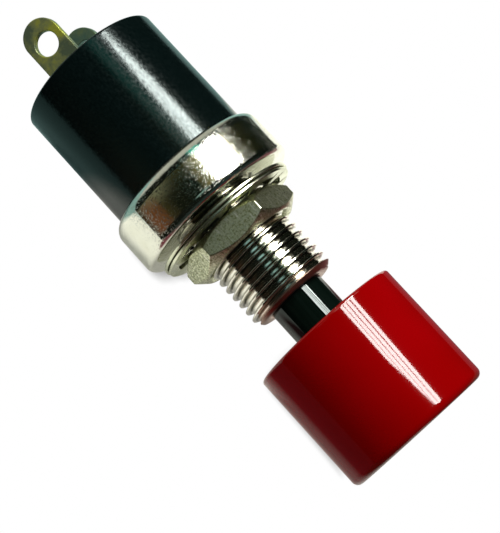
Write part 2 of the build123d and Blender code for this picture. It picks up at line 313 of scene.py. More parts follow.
def pittedPlate(name, s):
    # bright plate with sparse fine pits: the plain plate mirrors sharply, and each pit is rough and
    # tilted, so a lamp's reflection has a speckled edge
    material, nodes, links, shader = newMaterial(name, metallic=1.0)
    links.new(cloudyTone(nodes, links, s)[1], shader.inputs["Base Color"])
    grain = noise(nodes, links, s["grain"], Detail=3.0, Roughness=0.6)
    pits = rangeTo(nodes, links, grain, 0, 1, *s["pitted"])
    links.new(rangeTo(nodes, links, pits, s["smooth"], s["rough"]), shader.inputs["Roughness"])
    bumpFrom(nodes, links, shader, pits, 1.0, s["depth"] * mm)
    return material


def blackMoulding(name, s):
    # moulded black plastic: a grained tinted gloss under a thin clear skin
    material, nodes, links, shader = newMaterial(name)
    grain = noise(nodes, links, s["grain"], s["stretch"], Detail=4.0)
    tone = colourFrom(nodes, links, grain, [(0.3, s["dark"]), (0.75, s["pale"])])
    links.new(tone, shader.inputs["Base Color"])
    links.new(rangeTo(nodes, links, grain, s["smooth"], s["rough"], 0.3, 0.7), shader.inputs["Roughness"])
    bump = bumpFrom(nodes, links, shader, grain, 1.0, s["depth"] * mm)
    links.new(bump.outputs["Normal"], shader.inputs["Coat Normal"])
    shader.inputs["Specular Tint"].default_value = (*s["tint"], 1)
    shader.inputs["IOR"].default_value = s["index"]
    shader.inputs["Coat Weight"].default_value = s["skin"]
    shader.inputs["Coat Roughness"].default_value = s["skinRough"]
    return material


# switch body: the moulded black cup, (radius, z) round the axis with its chambers inside

bodyShape = {"radius": 8.2, "rearEdge": 0.22, "flangeEdge": 0.5, "springBore": 7.0, "contactBore": 6.2,
             "ledge": -11.0, "floor": -17.9, "crimpSeat": -5.2, "edge": 0.1}


def makeBody(s):
    low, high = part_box("switch_body")
    flange, rear, front = high.x / mm, low.z / mm, high.z / mm
    e = s["edge"]
    return lathe("bodyShell", roundedPath([
        (0, s["floor"], e), (s["contactBore"], s["floor"], e), (s["contactBore"], s["ledge"], e),
        (s["springBore"], s["ledge"], e), (s["springBore"], front, e), (flange, front, e),
        (flange, s["crimpSeat"], s["flangeEdge"]), (s["radius"], s["crimpSeat"], e),
        (s["radius"], rear, s["rearEdge"]), (0, rear, e)]))


phenolic = blackMoulding("phenolic", {
    "grain": 4200, "stretch": (1, 1, 0.7), "dark": (0.001, 0.003, 0.003), "pale": (0.002, 0.005, 0.005),
    "smooth": 0.09, "rough": 0.24, "depth": 0.0085, "tint": (0.84, 1.0, 0.98), "index": 1.38,
    "skin": 0.10, "skinRough": 0.10})
body = makeBody(bodyShape)
finishPiece(body, "housing", "switch_body", phenolic)
print("switch body made")


# collar: drawn nickel cup, its rear rim rolled in over the body's flange

collarShape = {"wall": 0.5, "edge": 0.7, "innerEdge": 0.2, "crimp": 1.15, "rim": 8.25, "hole": 5.05,
               "lip": 0.18, "segments": 256}


def makeCollar(s):
    low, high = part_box("collar")
    out, rear, front = high.x / mm, low.z / mm, high.z / mm
    w, lip = s["wall"], s["lip"]
    return lathe("collarCup", roundedPath([
        (s["hole"], front, lip), (out, front, s["edge"]), (out, rear, s["crimp"]), (s["rim"], rear, lip),
        (s["rim"], rear + w, lip), (out - w, rear + w, s["crimp"] - w),
        (out - w, front - w, s["innerEdge"]), (s["hole"], front - w, lip)], closed=True),
        segments=s["segments"], closed=True)


collarNickel = pittedPlate("collarNickel", {
    "bright": (0.80, 0.80, 0.72), "dull": (0.68, 0.68, 0.58), "cloud": 260, "grain": 6800,
    "pitted": (0.56, 0.70), "smooth": 0.035, "rough": 0.24, "depth": 0.0075})
collar = makeCollar(collarShape)
finishPiece(collar, "housing", "collar", collarNickel)
print("collar made")


# bushing: flange, threaded neck and bore. The thread is a right-hand helix: at angle a and height z the
# turn fraction is z / pitch - a / (2 pi), and the radius falls from crest to root as a rounded wave.

bushingShape = {"pitch": 1.0, "depth": 0.6, "crestPhase": 0.68, "crestShare": 0.16, "rootShare": 0.28,
                "bend": 0.12, "start": 0.05, "endChamfer": 0.6, "bore": 3.2, "mouth": 0.22,
                "flangeFront": -0.5, "flangeEdge": 0.2, "edge": 0.1, "rowsPerPitch": 32, "segments": 224}
threadCrest = frame["record"]["mounts"][0]["dims"]["r_mm"]
threadRoot = threadCrest - bushingShape["depth"]


def makeBushing(s):
    low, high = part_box("bushing")
    flange, rear, tip = high.x / mm, low.z / mm, high.z / mm
    turn = fullTurn(s["segments"])
    z = np.linspace(s["start"], tip, int(tip / s["pitch"] * s["rowsPerPitch"]))[:, None]
    fraction = (z / s["pitch"] - turn / (2 * math.pi) - s["crestPhase"]) % 1.0
    away = np.minimum(fraction, 1 - fraction) * 2
    ramp = np.clip((away - s["crestShare"]) / (1 - s["crestShare"] - s["rootShare"]), 0, 1)
    ramp = ramp + s["bend"] * np.sin(2 * math.pi * ramp) / (2 * math.pi)
    radius = threadCrest - s["depth"] * ramp
    radius = np.minimum(radius, threadCrest - s["endChamfer"] + (tip - z))
    thread = np.stack([radius, z + 0 * radius], -1)
    e = s["edge"]
    rest = roundedPath([
        (threadCrest - s["endChamfer"], tip, e / 2), (s["bore"] + e / 5, tip, s["mouth"]),
        (s["bore"], rear, e), (flange, rear, e), (flange, s["flangeFront"], s["flangeEdge"]),
        (threadCrest, s["flangeFront"], e / 2), (threadCrest, 0.0, e / 5)])
    rest = np.broadcast_to(rest[1:, None, :], (len(rest) - 1, s["segments"], 2))
    rows = np.concatenate([thread, rest])
    return gridMesh("bushingNeck", aroundAxis(rows[..., 0], rows[..., 1], turn), closeRows=True)


def threadMetal(s):
    # bright plate over the thread with painted shade low on its flanks, and worn to dull brass on the cut
    # end face, where its pinkish tone is also a painted reflection of the red cap
    material, nodes, links, shader = newMaterial("threadNickel", metallic=1.0)
    tone = cloudyTone(nodes, links, s)[1]
    place, parts = objectPlace(nodes, links)
    level = vectorStep(nodes, links, "MULTIPLY", place, (1, 1, 0))["Vector"]
    radius = vectorStep(nodes, links, "LENGTH", level)["Value"]
    climb = rangeTo(nodes, links, radius, 0, 1, threadRoot * mm, threadCrest * mm)
    # painted shade: the base colour is darkened on the lower flanks between root and crest
    grime = colourFrom(nodes, links, climb, [(at, (share, share, share)) for at, share in s["grimeAt"]])
    tone = mixColour(nodes, links, grime, tone, s["grime"])
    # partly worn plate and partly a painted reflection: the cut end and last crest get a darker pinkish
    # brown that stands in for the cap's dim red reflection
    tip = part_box("bushing")[1].z
    wornFrom, wornWhole = tip - s["wornFrom"] * mm, tip - s["wornWhole"] * mm
    worn = rangeTo(nodes, links, parts["Z"], 0, 1, wornFrom, wornWhole)
    links.new(mixColour(nodes, links, worn, tone, s["worn"]), shader.inputs["Base Color"])
    links.new(rangeTo(nodes, links, worn, s["smooth"], s["rough"]), shader.inputs["Roughness"])
    orangePeel(nodes, links, shader, s)
    return material


threadNickel = threadMetal({
    "bright": (0.84, 0.81, 0.74), "dull": (0.72, 0.70, 0.62), "cloud": 320, "smooth": 0.07, "rough": 0.34,
    "grimeAt": [(0.14, 0.0), (0.26, 0.85), (0.46, 0.85), (0.66, 0.0)], "grime": (0.10, 0.095, 0.07, 1),
    "wornFrom": 0.75, "wornWhole": 0.50, "worn": (0.40, 0.27, 0.21, 1),
    "peel": 2200, "lift": 0.4, "depth": 0.02})
bushing = makeBushing(bushingShape)
finishPiece(bushing, "housing", "bushing", threadNickel)
print("bushing made")


# flat washer and internal-tooth lock washer

washerShape = {"hole": 5.15, "edge": 0.1, "segments": 224}
lockShape = {"ringWidth": 1.15, "thickness": 0.3, "toothTip": 5.25, "teeth": 10, "toothWidth": 1.6,
             "toothSide": 0.05, "bend": 0.6, "edge": 0.08, "segments": 960}


def makeFlatWasher(s):
    low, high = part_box("flat_washer")
    out, rear, front, e = high.x / mm, low.z / mm, high.z / mm, s["edge"]
    return lathe("flatWasherRing", roundedPath([
        (s["hole"], front, e), (out, front, e), (out, rear, e), (s["hole"], rear, e)],
        closed=True, steps=6), segments=s["segments"], closed=True)


def makeLockWasher(s):
    # a rounded rectangle round the axis, whose inner radius steps in at each tooth. Within a tooth the
    # section is lifted by its distance from the tooth's middle times the twist
    low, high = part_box("lock_washer")
    out, middle = high.x / mm, (low.z + high.z) / 2 / mm
    lift = (high.z - low.z) / mm - s["thickness"]
    turn = fullTurn(s["segments"])
    step = 2 * math.pi / s["teeth"]
    away = (turn + step / 2) % step - step / 2
    ringInner = out - s["ringWidth"]
    across = away * (ringInner + s["toothTip"]) / 2
    inTooth = np.clip((s["toothWidth"] / 2 - np.abs(across)) / s["toothSide"], 0, 1)
    inner = ringInner + (s["toothTip"] - ringInner) * inTooth
    h, e, wide = s["thickness"] / 2, s["edge"], 2
    section = roundedPath([(0, h, e), (wide, h, e), (wide, -h, e), (0, -h, e)], closed=True, steps=4)
    share = section[:, :1] / wide
    radius = inner[None] + (out - inner[None]) * share
    reach = np.clip((ringInner - radius) / s["bend"], 0, 1)
    twist = reach * inTooth[None] * across[None] / (s["toothWidth"] / 2) * lift / 2
    z = middle + section[:, 1:] + twist
    return gridMesh("lockWasherRing", aroundAxis(radius, z, turn), closeRows=True)


washerNickel = platedMetal("washerNickel", {
    "bright": (0.76, 0.77, 0.62), "dull": (0.50, 0.53, 0.36), "cloud": 320, "stretch": (1, 1, 3),
    "smooth": 0.17, "rough": 0.32, "peel": 1500, "lift": 0.4, "depth": 0.02})
flatWasher = makeFlatWasher(washerShape)
finishPiece(flatWasher, "housing", "flat_washer", washerNickel)
lockWasher = makeLockWasher(lockShape)
finishPiece(lockWasher, "housing", "lock_washer", washerNickel)
print("washers made")


# hex nut: at angle a from the middle of a flat the side lies at flat / cos a, and each end is a cone
# that starts at the round face, so the flats end in arcs

nutShape = {"flat": 6.0, "face": 5.75, "slope": math.tan(math.radians(40)), "bore": 5.06, "mouth": 0.35,
            "edge": 0.07, "faceEdge": 0.05, "turn": math.radians(17.1), "cornerCut": 0.03, "segments": 1080}


def makeNut(s):
    # half of the section runs from the bore over the round face and down the cone to the rounded side,
    # each point with its radius and its height over the face; the other half is its mirror image
    low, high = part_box("hex_nut")
    rear, front = low.z / mm, high.z / mm
    turn = fullTurn(s["segments"])
    sector = math.pi / 3
    away = (turn - s["turn"] + sector / 2) % sector - sector / 2
    side = s["flat"] / np.cos(away)
    side = np.minimum(side, s["flat"] / math.cos(sector / 2) - s["cornerCut"])
    cone = (s["face"] - side) * s["slope"]
    bore, mouth, face, e, f = s["bore"], s["mouth"], s["face"], s["edge"], s["faceEdge"]
    tilt = math.atan(s["slope"])
    inwards, upwards = e * math.cos(tilt), e * math.sin(tilt)
    section = [
        (bore, -mouth - 2 * f), (bore, -mouth), (bore + mouth, -0.4 * f), (bore + mouth + 0.6 * f, 0.0),
        (face - 1.2 * f, 0.0), (face - 0.4 * f, -0.08 * f), (face + f, -f * s["slope"]),
        (side - 1.8 * inwards, cone + 1.8 * upwards), (side - inwards, cone + upwards),
        (side - 0.42 * e, cone + 0.12 * e), (side - 0.2 * e, cone - 0.12 * e),
        (side - 0.05 * e, cone - 0.5 * e), (side, cone - e), (side, cone - 1.8 * e)]
    radius = np.array([radius + 0 * turn for radius, _ in section])
    height = np.array([height + 0 * turn for _, height in section])
    radius = np.concatenate([radius, radius[::-1]])
    z = np.concatenate([front + height, rear - height[::-1]])
    return gridMesh("hexNutBlock", aroundAxis(radius, z, turn), closeRows=True)


def nutMetal(s):
    # tumbled nickel: dull flats with fine scratches that run round the nut
    material, nodes, links, shader = newMaterial("nutNickel", metallic=1.0)
    speck = noise(nodes, links, s["speck"], Detail=6.0, Roughness=0.85)
    tone = colourFrom(nodes, links, speck, [(0.42, s["dark"]), (0.50, s["middle"]), (0.58, s["bright"])])
    lines = noise(nodes, links, s["lines"], s["linesStretch"], Detail=1.0)
    scratched = rangeTo(nodes, links, lines, 0, s["scratches"], *s["scratchFrom"])
    links.new(mixColour(nodes, links, scratched, tone, s["scratch"]), shader.inputs["Base Color"])
    links.new(rangeTo(nodes, links, speck, s["rough"], s["smooth"], 0.4, 0.6), shader.inputs["Roughness"])
    bumpFrom(nodes, links, shader, speck, 1.0, s["depth"] * mm)
    return material


nutNickel = nutMetal({
    "speck": 4200, "dark": (0.22, 0.24, 0.12), "middle": (0.50, 0.52, 0.34), "bright": (0.90, 0.92, 0.70),
    "lines": 5500, "linesStretch": (1, 1, 0.12), "scratches": 0.7, "scratchFrom": (0.60, 0.74),
    "scratch": (1.0, 1.0, 0.90, 1), "smooth": 0.26, "rough": 0.42, "depth": 0.012})
nut = makeNut(nutShape)
finishPiece(nut, "housing", "hex_nut", nutNickel)
print("nut made")


# solder lugs: round the hole's centre the blade's outline lies at the nearer of its straight side and
# its round tip, and a rounded section is carried between hole and outline

lugShape = {"width": 4.2, "thickness": 0.8, "hole": 1.3, "holeToTip": 2.9, "edge": 0.12, "leg": 3.2,
            "legEdge": 0.1, "legInset": 0.02, "segments": 320}


def makeLug(s, name, node):
    # the blade, and the leg bent inwards at its top
    low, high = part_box(node)
    side = 1 if low.y > 0 else -1
    outer = max(abs(low.y), abs(high.y)) / mm
    tip, top = low.z / mm, high.z / mm
    half = s["width"] / 2
    holeZ = tip + s["holeToTip"]
    turn = fullTurn(s["segments"])
    sx, sz = np.cos(turn), np.sin(turn)
    tiny = 1e-6
    toSide = half / np.maximum(np.abs(sx), tiny)
    drop = s["holeToTip"] - half
    along = -drop * sz
    toArc = along + np.sqrt(along ** 2 - drop ** 2 + half ** 2)
    reach = np.where(toSide * sz >= -drop, toSide, toArc)
    reach = np.where(sz > 0, np.minimum(reach, (top - holeZ) / np.maximum(sz, tiny)), reach)
    t, e, wide = s["thickness"] / 2, s["edge"], 2
    section = roundedPath([(0, t, e), (wide, t, e), (wide, -t, e), (0, -t, e)], closed=True, steps=5)
    fromHole, fromEdge = section[:, :1], wide - section[:, :1]
    radius = np.where(fromHole < wide / 2, s["hole"] + fromHole, reach[None] - fromEdge)
    y = side * (outer - t) + section[:, 1:] + 0 * radius
    blade = gridMesh(name, np.stack([radius * sx, y, holeZ + radius * sz], -1) * mm, closeRows=True)
    inner, outside = sorted([side * (outer - s["leg"]), side * (outer - s["legInset"])])
    leg = bar("leg", (-half, inner, top - s["thickness"]), (half, outside, top), s["legEdge"])
    return joinPieces(name, [blade, leg])


def lugMetal(s):
    # tarnished plate: olive and yellow-green clouds over brass, with painted shade that makes the second
    # lug darker and greener
    material, nodes, links, shader = newMaterial("lugTarnish", metallic=0.5)
    cloud = noise(nodes, links, s["cloud"], Detail=5.0, Roughness=0.6)
    tone = colourFrom(nodes, links, cloud, [(0.40, s["dark"]), (0.50, s["middle"]), (0.60, s["bright"])])
    parts = objectPlace(nodes, links)[1]
    # painted shade: the lug at positive y is mixed towards a dark teal
    second = rangeTo(nodes, links, parts["Y"], 0, s["secondShare"], -mm, mm)
    links.new(mixColour(nodes, links, second, tone, s["second"]), shader.inputs["Base Color"])
    links.new(rangeTo(nodes, links, cloud, s["rough"], s["smooth"], 0.3, 0.7), shader.inputs["Roughness"])
    orangePeel(nodes, links, shader, s)
    return material


lugTarnish = lugMetal({
    "cloud": 360, "dark": (0.09, 0.12, 0.07), "middle": (0.21, 0.23, 0.09), "bright": (0.36, 0.37, 0.05),
    "second": (0.05, 0.12, 0.10, 1), "secondShare": 0.7, "smooth": 0.25, "rough": 0.45,
    "peel": 2400, "lift": 0.35, "depth": 0.03})
for side in ("left", "right"):
    lug = makeLug(lugShape, side + "LugBlade", side + "_lug")
    finishPiece(lug, "housing", side + "_lug", lugTarnish)
print("lugs made")


# plunger: turned stem, shoulder, hub and tail

plungerShape = {"radius": 3.15, "shoulder": 6.7, "shoulderRear": -3.35, "shoulderFront": -1.75,
                "hubRear": -11.35, "tail": 1.6, "edge": 0.08, "segments": 160}


def makePlunger(s):
    low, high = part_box("plunger")
    rear, front, e = low.z / mm, high.z / mm, s["edge"]
    return lathe("plungerStem", roundedPath([
        (0, rear, e), (s["tail"], rear, e), (s["tail"], s["hubRear"], e), (s["radius"], s["hubRear"], e),
        (s["radius"], s["shoulderRear"], e), (s["shoulder"], s["shoulderRear"], e),
        (s["shoulder"], s["shoulderFront"], e), (s["radius"], s["shoulderFront"], e),
        (s["radius"], front, e), (0, front, e)]), segments=s["segments"])


blackGloss = blackMoulding("blackGloss", {
    "grain": 2400, "stretch": (1, 1, 0.02), "dark": (0.001, 0.003, 0.002), "pale": (0.004, 0.008, 0.006),
    "smooth": 0.04, "rough": 0.06, "depth": 0.003, "tint": (0.90, 1.0, 0.97), "index": 1.44,
    "skin": 0.0, "skinRough": 0.05})
plunger = makePlunger(plungerShape)
finishPiece(plunger, "button", "plunger", blackGloss)
print("plunger made")


# button cap: cored red moulding with a hub and four ribs inside

capShape = {"rearEdge": 0.3, "frontEdge": 0.75, "cavity": 6.65, "roof": 28.15, "hub": 5.0,
            "hubRear": 16.45, "bore": 3.17, "boreEnd": 26.0, "edge": 0.12, "segments": 256,
            "ribRear": 17.45, "ribHalf": 0.6, "ribEdge": 0.1, "ribRoot": 0.4, "ribTop": 0.3}


def makeCap(s):
    low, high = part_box("button_cap")
    out, rear, front, e = high.x / mm, low.z / mm, high.z / mm, s["edge"]
    shell = lathe("cap", roundedPath([
        (0, s["boreEnd"], e), (s["bore"], s["boreEnd"], e), (s["bore"], s["hubRear"], e),
        (s["hub"], s["hubRear"], e), (s["hub"], s["roof"], e), (s["cavity"], s["roof"], e),
        (s["cavity"], rear, e), (out, rear, s["rearEdge"]), (out, front, s["frontEdge"]), (0, front, e)]),
        segments=s["segments"])
    parts = [shell]
    inner, outer = s["bore"] + s["ribRoot"], s["cavity"] + s["ribRoot"]
    for sx, sy in ((1, 0), (0, 1), (-1, 0), (0, -1)):
        a, b = np.array([sx, sy]) * inner, np.array([sx, sy]) * outer
        across = np.abs([sy, sx]) * s["ribHalf"]
        lowXy, highXy = np.minimum(a, b) - across, np.maximum(a, b) + across
        parts.append(bar("rib", (*lowXy, s["ribRear"]), (*highXy, s["roof"] + s["ribTop"]), s["ribEdge"]))
    return joinPieces("capShell", parts)


def redMoulding(s):
    # glossy moulded red, a little deeper in faint clouds
    material, nodes, links, shader = newMaterial("redGloss")
    cloud = noise(nodes, links, s["cloud"], Detail=2.0)
    tone = colourFrom(nodes, links, cloud, [(0.3, s["deep"]), (0.7, s["red"])])
    links.new(tone, shader.inputs["Base Color"])
    shader.inputs["Roughness"].default_value = s["rough"]
    shader.inputs["IOR"].default_value = s["index"]
    return material


redGloss = redMoulding({"cloud": 90, "deep": (0.21, 0.0, 0.0), "red": (0.25, 0.0, 0.001), "rough": 0.065,
                        "index": 1.45})
cap = makeCap(capShape)
finishPiece(cap, "button", "button_cap", redGloss)
print("button cap made")


# contact rivets: head, shank and clenched tail round their own axis

rivetShape = {"head": 1.1, "shank": 0.6, "clench": 1.0, "dome": 0.3, "edge": 0.1, "segments": 64}


def makeRivet(s, name, node):
    low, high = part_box(node)
    rear, front = low.z / mm, high.z / mm
    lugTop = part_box("left_lug")[1].z / mm
    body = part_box("switch_body")[0].z / mm
    e, dome = s["edge"], s["dome"]
    piece = lathe(name, roundedPath([
        (0, rear, e), (s["clench"], rear, dome), (s["clench"], body, e / 2), (s["shank"], body, e / 2),
        (s["shank"], lugTop, e / 2), (s["head"], lugTop, e / 2), (s["head"], front, dome), (0, front, e)]),
        segments=s["segments"])
    piece.data.transform(Matrix.Translation((0, (low.y + high.y) / 2, 0)))
    return piece


silver = platedMetal("contactSilver", {
    "bright": (0.88, 0.87, 0.84), "dull": (0.76, 0.74, 0.68), "cloud": 320, "smooth": 0.16, "rough": 0.30,
    "peel": 1800, "lift": 0.4, "depth": 0.02})
for side in ("left", "right"):
    rivet = makeRivet(rivetShape, side + "Rivet", side + "_contact")
    finishPiece(rivet, "housing", side + "_contact", silver)
print("contact rivets made")


# springs: round wire coils with a closed turn at each end.

returnShape = {"wire": 0.7, "active": 2, "closed": 1.04, "ramp": 0.4, "rows": 288, "around": 14,
               "travel": 2.5}
contactShape = {"wire": 0.35, "active": 1, "closed": 1.04, "ramp": 0.4, "rows": 144, "around": 12}


def makeCoil(s, name, node):
    # the wire climbs by a little over its own thickness in each closed turn, and faster between them:
    # height is the running sum of that slope over the turns. A circle stands across the path at each
    # step, along the radius and along the path's tangent crossed with it.
    low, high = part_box(node)
    half, turns = s["wire"] / 2, s["active"] + 2
    radius = high.x / mm - half
    k = np.linspace(0, turns, s["rows"])
    rampUp = np.clip((k - 1) / s["ramp"] + 0.5, 0, 1)
    rampDown = np.clip((turns - 1 - k) / s["ramp"] + 0.5, 0, 1)
    free = rampUp * rampDown
    climb = (high.z - low.z) / mm - s["wire"]
    closed = s["wire"] * s["closed"]
    slope = closed + free * (climb - closed * turns) / (free.mean() * turns)
    height = np.concatenate([[0], np.cumsum((slope[1:] + slope[:-1]) / 2)])
    height = low.z / mm + half + height * climb / height[-1]
    turn = k * 2 * math.pi
    path = np.stack([radius * np.cos(turn), radius * np.sin(turn), height], -1)
    outward = np.stack([np.cos(turn), np.sin(turn), 0 * turn], -1)
    along = np.gradient(path, axis=0)
    along /= np.linalg.norm(along, axis=1, keepdims=True)
    upward = np.cross(outward, along)
    a = fullTurn(s["around"])
    ring = outward[:, None] * np.cos(a)[:, None] + upward[:, None] * np.sin(a)[:, None]
    tube = path[:, None] + ring * half
    ends = [np.broadcast_to(path[i], (1, len(a), 3)) for i in (0, -1)]
    return gridMesh(name, np.concatenate([ends[0], tube, ends[1]]) * mm)


springWire = platedMetal("springWire", {
    "bright": (0.62, 0.62, 0.62), "dull": (0.44, 0.44, 0.46), "cloud": 320, "smooth": 0.22, "rough": 0.34,
    "peel": 3000, "lift": 0.3, "depth": 0.02})
returnCoil = makeCoil(returnShape, "returnCoil", "return_spring")
finishPiece(returnCoil, "housing", "return_spring", springWire)
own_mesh(returnCoil)
contactCoil = makeCoil(contactShape, "contactCoil", "contact_spring")
finishPiece(contactCoil, "button", "contact_spring", springWire)
print("springs made")


# pieces closed in the housing keep their CAD shape and get a finish of their own

def fibreBoard(s):
    # matt red-brown board with flecks that lie flat
    material, nodes, links, shader = newMaterial("fibreBoard")
    fleck = noise(nodes, links, s["fleck"], s["stretch"], Detail=5.0)
    tone = colourFrom(nodes, links, fleck, [(0.3, s["dark"]), (0.7, s["pale"])])
    links.new(tone, shader.inputs["Base Color"])
    shader.inputs["Roughness"].default_value = s["rough"]
    bumpFrom(nodes, links, shader, fleck, s["lift"], s["depth"] * mm)
    return material


gasketFibre = fibreBoard({"fleck": 1800, "stretch": (1, 1, 4), "dark": (0.17, 0.05, 0.03),
                          "pale": (0.30, 0.11, 0.06), "rough": 0.7, "lift": 0.4, "depth": 0.03})
bridgeBrass = platedMetal("bridgeBrass", {
    "bright": (0.72, 0.52, 0.24), "dull": (0.60, 0.42, 0.17), "cloud": 320, "smooth": 0.18, "rough": 0.30,
    "peel": 1600, "lift": 0.3, "depth": 0.02})
for node, material in (("bridge_clip", springWire), ("contact_bridge", bridgeBrass),
                       ("flange_gasket", gasketFibre)):
    mesh = frame["nodes"][node].data
    mesh.materials.clear()
    mesh.materials.append(material)
print("inner pieces finished")


# where the camera stands, in metres: azimuth and distance round the switch's axis, height along it

viewFrom = {"azimuth": math.radians(255.6), "height": 0.02797, "distance": 0.14147,
            "aim": (0.0014, -0.0004, 0.0062), "roll": math.radians(-137.58), "sensor": 36.0, "lens": 94.765,
            "clip": (0.005, 10)}


# the table the switch lies on, in metres: a flat sheet that all but touches the collar and the cap along
# one line. It shows from its own side only, so a view from behind looks through it.

table = {"facing": math.radians(228.6), "length": 0.24, "width": 0.096, "clear": 1.01, "collarBack": 0.003,
         "paper": (0.62, 0.62, 0.57), "teal": (0.13, 0.23, 0.22), "desk": (0.095, 0.020, 0.028),
         "far": (0.020, 0.018, 0.012), "tealEnd": (-0.015, -0.011), "deskEnd": (0.032, 0.036),
         "paperEnd": (0.0095, 0.0115), "paperNear": (0.007, 0.016), "rough": 0.6, "fill": 0.55,
         "contact": 0.0022, "hollow": (0.60, 0.94), "hollowEnd": (0.025, 0.0285),
         "shadow": (0.36, 0.36, 0.35)}


def makeTable(s):
    # a plane through one point beside the collar and one beside the cap, square to the way it faces
    collarBox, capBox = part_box("collar"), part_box("button_cap")
    out = np.array([math.cos(s["facing"]), math.sin(s["facing"]), 0])
    nearCollar = -out * collarBox[1].x * s["clear"] + np.array([0, 0, collarBox[1].z - s["collarBack"]])
    nearCap = -out * capBox[1].x * s["clear"] + np.array([0, 0, capBox[1].z])
    along = (nearCap - nearCollar) / np.linalg.norm(nearCap - nearCollar)
    across = np.cross(along, out)
    middle = (nearCollar + nearCap) / 2
    k = np.linspace(-0.5, 0.5, 3)
    points = middle + k[:, None, None] * s["length"] * along + k[None, :, None] * s["width"] * across
    sheet = gridMesh("tableSheet", points, closeCols=False)
    if np.array(sheet.data.polygons[0].normal) @ out < 0:
        sheet.data.flip_normals()
    return sheet, across


def tableMaterial(s, across):
    # pale paper under the collar with painted teal shade under the body, painted dark crimson shade of the
    # cap round the cap away from where it touches, and black past the cap. The camera sees them all as
    # plain white with a painted soft shadow close under the switch
    material, nodes, links, shader = newMaterial("tablePaper")
    place, parts = objectPlace(nodes, links)
    height = parts["Z"]
    sideways = vectorStep(nodes, links, "DOT_PRODUCT", place, tuple(across))["Value"]
    away = mathStep(nodes, links, "ABSOLUTE", sideways)
    # painted shadow of the cap: the sheet turns dark crimson from the cap's rear onwards, except near the
    # line where the switch touches
    capShadeMask = mathStep(nodes, links, "MULTIPLY", rangeTo(nodes, links, height, 0, 1, *s["paperEnd"]),
                    rangeTo(nodes, links, away, 0, 1, *s["paperNear"]))
    # the pale paper carries a painted teal shade under the body
    pale = mixColour(nodes, links, rangeTo(nodes, links, height, 0, 1, *s["tealEnd"]),
                     (*s["teal"], 1), (*s["paper"], 1))
    desk = mixColour(nodes, links, rangeTo(nodes, links, height, 0, 1, *s["deskEnd"]),
                     (*s["desk"], 1), (*s["far"], 1))
    tone = mixColour(nodes, links, capShadeMask, pale, desk)
    links.new(tone, shader.inputs["Base Color"])
    links.new(tone, shader.inputs["Emission Color"])
    shader.inputs["Roughness"].default_value = s["rough"]
    shader.inputs["Emission Strength"].default_value = s["fill"]
    # painted shadow: near the switch the camera's white is darkened towards the shadow grey by ambient
    # occlusion, and this fades out past the cap's front
    nearness = nodes.new("ShaderNodeAmbientOcclusion")
    nearness.samples = 16
    nearness.inputs["Distance"].default_value = s["contact"]
    clearOf = mathStep(nodes, links, "MAXIMUM",
                       rangeTo(nodes, links, nearness.outputs["AO"], 0, 1, *s["hollow"]),
                       rangeTo(nodes, links, height, 0, 1, *s["hollowEnd"]))
    glow = nodes.new("ShaderNodeEmission")
    links.new(mixColour(nodes, links, clearOf, (*s["shadow"], 1), (1, 1, 1, 1)), glow.inputs["Color"])
    path = nodes.new("ShaderNodeLightPath")
    side = nodes.new("ShaderNodeNewGeometry")
    hidden = mathStep(nodes, links, "MAXIMUM", side.outputs["Backfacing"], path.outputs["Is Shadow Ray"])
    clear = nodes.new("ShaderNodeBsdfTransparent")
    plain = mixShader(nodes, links, path.outputs["Is Camera Ray"], shader.outputs["BSDF"],
                      glow.outputs["Emission"])
    shown = mixShader(nodes, links, hidden, plain, clear.outputs["BSDF"])
    links.new(shown, nodes["Material Output"].inputs["Surface"])
    return material


sheet, sheetAcross = makeTable(table)
sheet.data.materials.append(tableMaterial(table, sheetAcross))
print("table laid")


# the room: white where the camera looks past the table. Everything else sees rings of dim tones round the
# switch's axis, each tone at its angle from the camera towards the lamps. The dark ring lies level with
# the button. The rings of thread, collar and body and a pale one follow towards the lugs, each from its own
# height, and then it is dark. Both ends of the axis have a tone of their own, and a pale screen hangs round
# the lamps.

